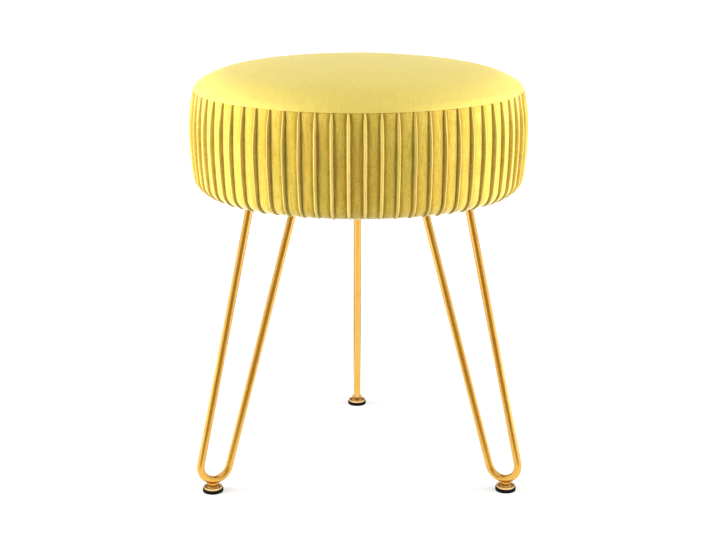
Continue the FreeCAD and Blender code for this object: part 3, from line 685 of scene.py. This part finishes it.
def makePleatedBand(material):
    rows, outerRows = bandProfile()
    count = tucks["count"]
    section, panel = tucks["section"], tucks["panel"]
    half = math.pi * band["girthRadius"] / count
    offsets = [across[0] for across in section + panel[:-1]] + [half]
    perTuck = 2 * (len(offsets) - 1)
    columns = count * perTuck
    mesh, rowLayer = spinProfile([(radius * mm, height * mm) for radius, height, rise in rows], columns, True)
    normals = []
    for index in range(len(rows)):
        before, after = rows[index - 1], rows[(index + 1) % len(rows)]
        normals.append(Vector((before[1] - after[1], after[0] - before[0])).normalized())
    normals[0] = Vector((0, 1))
    draw = random.Random(23)
    shape = [{
        "shift": draw.uniform(-0.28, 0.28), "height": draw.uniform(0.86, 1.0), "lean": draw.uniform(-1, 1),
        "pinch": draw.uniform(0.75, 1.3), "drop": draw.uniform(0.6, 1.35), "seed": draw.uniform(0, 50),
    } for number in range(count)]
    step = 2 * math.pi / count
    foldWearAndPaintedLightLayer = mesh.verts.layers.float.new("foldWearAndPaintedLight")
    uvLayer = mesh.loops.layers.uv.new("clothMap")
    lengths = [0.0]
    for before, after in zip(rows, rows[1:]):
        lengths.append(lengths[-1] + math.hypot(after[0] - before[0], after[1] - before[1]))
    pins, flatPlaces = {}, {}
    uvPlaces = {}
    for vertex in mesh.verts:
        row = round(vertex[rowLayer])
        radius, height, rise = rows[row]
        angle = math.atan2(vertex.co.y, vertex.co.x)
        column = round(angle / (2 * math.pi / columns)) % columns
        number, member = divmod(column, perTuck)
        side = 1
        if member > perTuck // 2:
            number, member, side = (number + 1) % count, perTuck - member, -1
        own = shape[number]
        offset = offsets[member]
        inUnder = row >= outerRows
        width = 1.0
        reach = tucks["pinchReach"] * own["pinch"]
        width *= tucks["topPinch"] + (1 - tucks["topPinch"]) * smooth(0, reach, band["seamHeight"] - height)
        if height < band["hemHeight"] + 4:
            width *= 0.8
        last = len(section)
        if 0 < member <= last:
            offset *= width
        elif member == last + 1:
            offset *= 0.6 + 0.4 * width
        wander = noise.noise(Vector((own["seed"], height * 0.03, 1.7))) * tucks["wander"] * 2 + own["shift"]
        offset = side * offset + wander * max(0.0, 1 - member / (last + 3))
        lean = (own["lean"] * 0.6 + noise.noise(Vector((own["seed"], height * 0.045, 9.1)))) * tucks["lean"]
        grow = rise * own["height"]
        if height < band["hemHeight"] + 2:
            grow = rise * own["drop"]
        crease = tucks["creaseDepth"] * smooth(0.2, 2.0, rise)
        if member < last:
            out = grow * section[member][1]
            offset += lean * smooth(0.5, 3.0, rise) * section[member][1]
            foldWearAndPaintedLight = section[member][2]
        else:
            place, puffShare, creaseShare, foldWearAndPaintedLight = panel[member - last]
            out = tucks["panelPuff"] * puffShare * smooth(0.3, 2.5, rise) - crease * creaseShare
        if inUnder:
            out, foldWearAndPaintedLight = 0.0, 0.0
        newAngle = math.radians(tucks["firstTurn"]) + number * step + offset / band["girthRadius"]
        normal = normals[row]
        place = (radius + normal.x * out, height + normal.y * out)
        vertex.co = Vector((math.cos(newAngle) * place[0], math.sin(newAngle) * place[0], place[1])) * mm
        # Painted light: the crest's paler tone is partly crushed pile, partly painted highlight; the crease's
        # darker tone is painted shade
        vertex[foldWearAndPaintedLightLayer] = foldWearAndPaintedLight * smooth(0.2, 2.0, rise)
        uvPlaces[vertex] = (newAngle * band["girthRadius"] * mm, lengths[row] * mm)
        free = 0.0 if (inUnder or member < last + 1) else smooth(0.3, 2.5, rise)
        pins[vertex] = 1 - free
        outward = Vector((math.cos(newAngle), math.sin(newAngle), 0))
        sunk = 0.6 if member == last + 1 else 1
        flatPlaces[vertex] = vertex.co - outward * band["swell"] * mm * free * sunk
    around = 2 * math.pi * band["girthRadius"] * mm
    for face in mesh.faces:
        first = uvPlaces[face.loops[0].vert][0]
        for loop in face.loops:
            across, along = uvPlaces[loop.vert]
            if across - first > around / 2:
                across -= around
            elif first - across > around / 2:
                across += around
            loop[uvLayer].uv = (across, along)
    mesh.verts.index_update()
    order = sorted(pins, key=lambda vertex: vertex.index)
    pinList = [pins[vertex] for vertex in order]
    start = [flatPlaces[vertex].copy() for vertex in order]
    piece = finishPiece("pleatedBand", mesh, material, "root")
    swellCloth(piece, pinList, start, band["swell"] * mm)
    finer = piece.modifiers.new("finer", "SUBSURF")
    finer.levels = finer.render_levels = 1
    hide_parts("pleated_band")
    print("pleated band made")
    return piece


# Filling: two foam pieces under the velvet

filling = {
    "gap": 0.2,
    "topGap": 3.0,                  # clear of the crown's dents and of the simulated cloth
    "padSide": 394.5,
    "boardTop": 324.5,
    "edgeRound": 1.5,
}


def makeFilling(soft, firm):
    clear = crown["cloth"] + filling["topGap"] * mm
    top = [point for point in crownProfile(-clear)[::2] if point[0] < 160 * mm]
    inset = band["wall"] + filling["gap"]
    split = filling["padSide"]
    side = [(sideRadius(height, inset) * mm, height * mm) for height in (405, 400, split + 0.6)]
    profile = top + side + [((sideRadius(split, inset) - 1) * mm, split * mm), (0, split * mm)]
    mesh, _ = spinProfile(profile, 96, False)
    pad = finishPiece("crownPad", mesh, soft, "root")
    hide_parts("crown_pad")
    bottom, outer = filling["boardTop"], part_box("foam_core")[1].x / mm
    round_ = filling["edgeRound"]
    heights = [split - round_, 386, 377, 368, 356, 344, 333, bottom + round_]
    side = [(min(outer, sideRadius(height, inset)) * mm, height * mm) for height in heights]
    profile = [(0, split * mm), (side[0][0] - round_ * mm, split * mm)] + side
    profile += [(side[-1][0] - round_ * mm, bottom * mm), (0, bottom * mm)]
    mesh, _ = spinProfile(profile, 96, False)
    core = finishPiece("foamCore", mesh, firm, "root")
    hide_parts("foam_core")
    print("filling made")


# Dust cover: thin black cloth stapled up under the board

dust = {
    "radius": 149.0,
    "stepRadius": 139.4,
    "rimHeight": 305.1,
    "middleHeight": 309.1,
    "cloth": 0.6,
    "sag": 0.7,
    "stapleRing": 145.0,
    "staples": 24,
    "dimple": 0.25,
}


def makeDustCover(material):
    rim, middle, step = dust["rimHeight"], dust["middleHeight"], dust["stepRadius"]
    profile = [(across, middle) for across in (0, 25, 50, 75, 100, 120, 132, step - 1.4)]
    profile += [(step - 0.5, middle - 0.5), (step - 0.3, middle - 1.6), (step - 0.2, rim + 1.2), (step + 0.3, rim + 0.3)]
    profile += [(across, rim) for across in (step + 1.3, 143, 145, 147, dust["radius"])]
    columns = dust["staples"] * 8
    mesh, _ = spinProfile([(radius * mm, height * mm) for radius, height in profile], columns, False)
    uvLayer = mesh.loops.layers.uv.new("clothMap")
    for face in mesh.faces:
        for loop in face.loops:
            loop[uvLayer].uv = (loop.vert.co.x, loop.vert.co.y)
    for vertex in mesh.verts:
        radius = math.hypot(vertex.co.x, vertex.co.y) / mm
        angle = math.atan2(vertex.co.y, vertex.co.x)
        wave = math.cos(dust["staples"] * angle)
        toPlate = math.cos(3 * (angle - math.radians(90)))
        if radius < step - 2:
            between = smooth(60, 80, radius) * (1 - smooth(118, 136, radius)) * smooth(-0.4, -0.9, toPlate)
            hang = (1 - smooth(20, 58, radius)) + 0.8 * between
            vertex.co.z -= dust["sag"] * mm * hang * (0.8 + 0.4 * noise.noise(vertex.co * 25))
        elif radius > step + 1:
            press = 1 - smooth(0, 4, abs(radius - dust["stapleRing"]))
            vertex.co.z += dust["dimple"] * mm * press * max(0.0, wave) ** 4
            vertex.co.z -= 0.15 * mm * smooth(146, 149, radius) * (0.5 - 0.5 * wave)
    for face in mesh.faces:
        face.normal_update()
    if sum(face.normal.z for face in mesh.faces) > 0:
        bmesh.ops.reverse_faces(mesh, faces=mesh.faces)
    piece = finishPiece("dustCover", mesh, material, "root")
    thick = piece.modifiers.new("thickness", "SOLIDIFY")
    thick.thickness = dust["cloth"] * mm
    thick.offset = 0
    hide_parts("dust_cover")
    print("dust cover made")


# Weld beads where the rods meet their plates

weld = {
    "outerArm": (125.1, 13.07),     # radius at the plate and lean outwards, degrees
    "innerArm": (72.3, 16.67),
    "plateUnder": 305.7,
    "rod": 4.0,
    "reach": 2.3,
    "height": 2.4,
    "legTurns": (90, 210, 330),
}


def makeWelds(material):
    mesh = bmesh.new()
    draw = random.Random(5)
    for leg in weld["legTurns"]:
        for radius, lean in (weld["outerArm"], weld["innerArm"]):
            ring = bmesh.new()
            rod, reach, tall = weld["rod"], weld["reach"], weld["height"]
            profile = [(rod - 0.6, 0.4), (rod + reach, 0.4), (rod + reach * 0.92, -0.25),
                       (rod + reach * 0.62, -0.9), (rod + reach * 0.3, -tall * 0.75),
                       (rod + 0.12, -tall), (rod - 0.6, -tall + 0.2)]
            line = [ring.verts.new((across, 0, up)) for across, up in profile]
            edges = [ring.edges.new(pair) for pair in zip(line, line[1:] + line[:1])]
            bmesh.ops.spin(ring, geom=line + edges, cent=(0, 0, 0), axis=(0, 0, 1), angle=2 * math.pi,
                           steps=40, use_merge=True)
            bmesh.ops.remove_doubles(ring, verts=ring.verts, dist=0.001)
            bmesh.ops.recalc_face_normals(ring, faces=ring.faces)
            seed = draw.uniform(0, 20)
            slope = math.tan(math.radians(lean))
            for vertex in ring.verts:
                across = math.hypot(vertex.co.x, vertex.co.y)
                angle = math.atan2(vertex.co.y, vertex.co.x)
                if across > rod - 0.3 and vertex.co.z < 0.2:
                    rough = noise.noise(Vector((seed, angle * 1.3, 0)))
                    lump = 1 + 0.16 * math.cos(11 * angle + seed) + 0.14 * rough
                    vertex.co.x *= 1 + (lump - 1) * 0.45
                    vertex.co.y *= 1 + (lump - 1) * 0.45
                    vertex.co.z *= lump
                vertex.co.x -= slope * vertex.co.z
            atPlate = Matrix.Translation((radius, 0, weld["plateUnder"]))
            place = Matrix.Rotation(math.radians(leg), 4, "Z") @ atPlate
            ring.transform(Matrix.Scale(mm, 4) @ place)
            data = bpy.data.meshes.new("bead")
            ring.to_mesh(data)
            ring.free()
            mesh.from_mesh(data)
            bpy.data.meshes.remove(data)
    piece = finishPiece("legWelds", mesh, material, "root", levels=1)
    print("weld beads made")
    return piece


def dressCadNodes(looks):
    slots = {
        "seat_board": "plywood", "staples": "staple", "tee_nuts": "zinc", "leg_bolts": "bolt",
        "leg_plate": "goldPlate", "leg_rod": "goldRod", "foot_boss": "goldRod", "foot_stud": "goldDisc",
        "foot_pad": "rubber",
    }
    for name, node in cadNodes.items():
        kind = name.rstrip("_123")
        if kind in slots:
            for slot in node.material_slots:
                slot.material = looks[slots[kind]]
    print("metal, wood and rubber dressed")


makeCamera()
makeFloor()
makeFlags()
makeRoom()
makeLights()
looks = {
    # The top's velvet is a paler copy of the band's, painted sheen in place of its own sheen
    "velvetTopPaintedSheen": makeVelvet("velvetTopPaintedSheen", "top", 0.12, 0.12, 0.45, 0.12),
    "velvetSide": makeVelvet("velvetSide", "plain", 0.75, 0.62, 0.9, 1.0),
    "dustCloth": makeDustCloth(),
    "softFoam": makeFoam("softFoam", (0.93, 0.90, 0.80), (0.80, 0.75, 0.60), 900),
    "firmFoam": makeFoam("firmFoam", (0.88, 0.84, 0.70), (0.72, 0.66, 0.48), 600),
    "plywood": makePlywood(),
    "staple": makeSteel("stapleWire", (0.50, 0.50, 0.48), (0.68, 0.68, 0.66), 1.0, 0.35),
    "zinc": makeSteel("zincSteel", (0.56, 0.57, 0.58), (0.74, 0.74, 0.72), 1.0, 0.38),
    "bolt": makeSteel("blackOxide", (0.035, 0.035, 0.038), (0.09, 0.088, 0.085), 0.85, 0.42),
    "goldPlate": makeGold("goldPlate", 0.32, 1.0),
    "goldRod": makeGold("goldRod", 0.29, 0.06),
    # The last value is the height under which the disc's groove gets painted shade
    "goldDisc": makeGold("goldDisc", 0.20, 1.0, 0.0052),
    "rubber": makeRubber(),
}
makeTopPanel(looks["velvetTopPaintedSheen"])
makePleatedBand(looks["velvetSide"])
makeFilling(looks["softFoam"], looks["firmFoam"])
makeDustCover(looks["dustCloth"])
makeWelds(looks["goldPlate"])
dressCadNodes(looks)
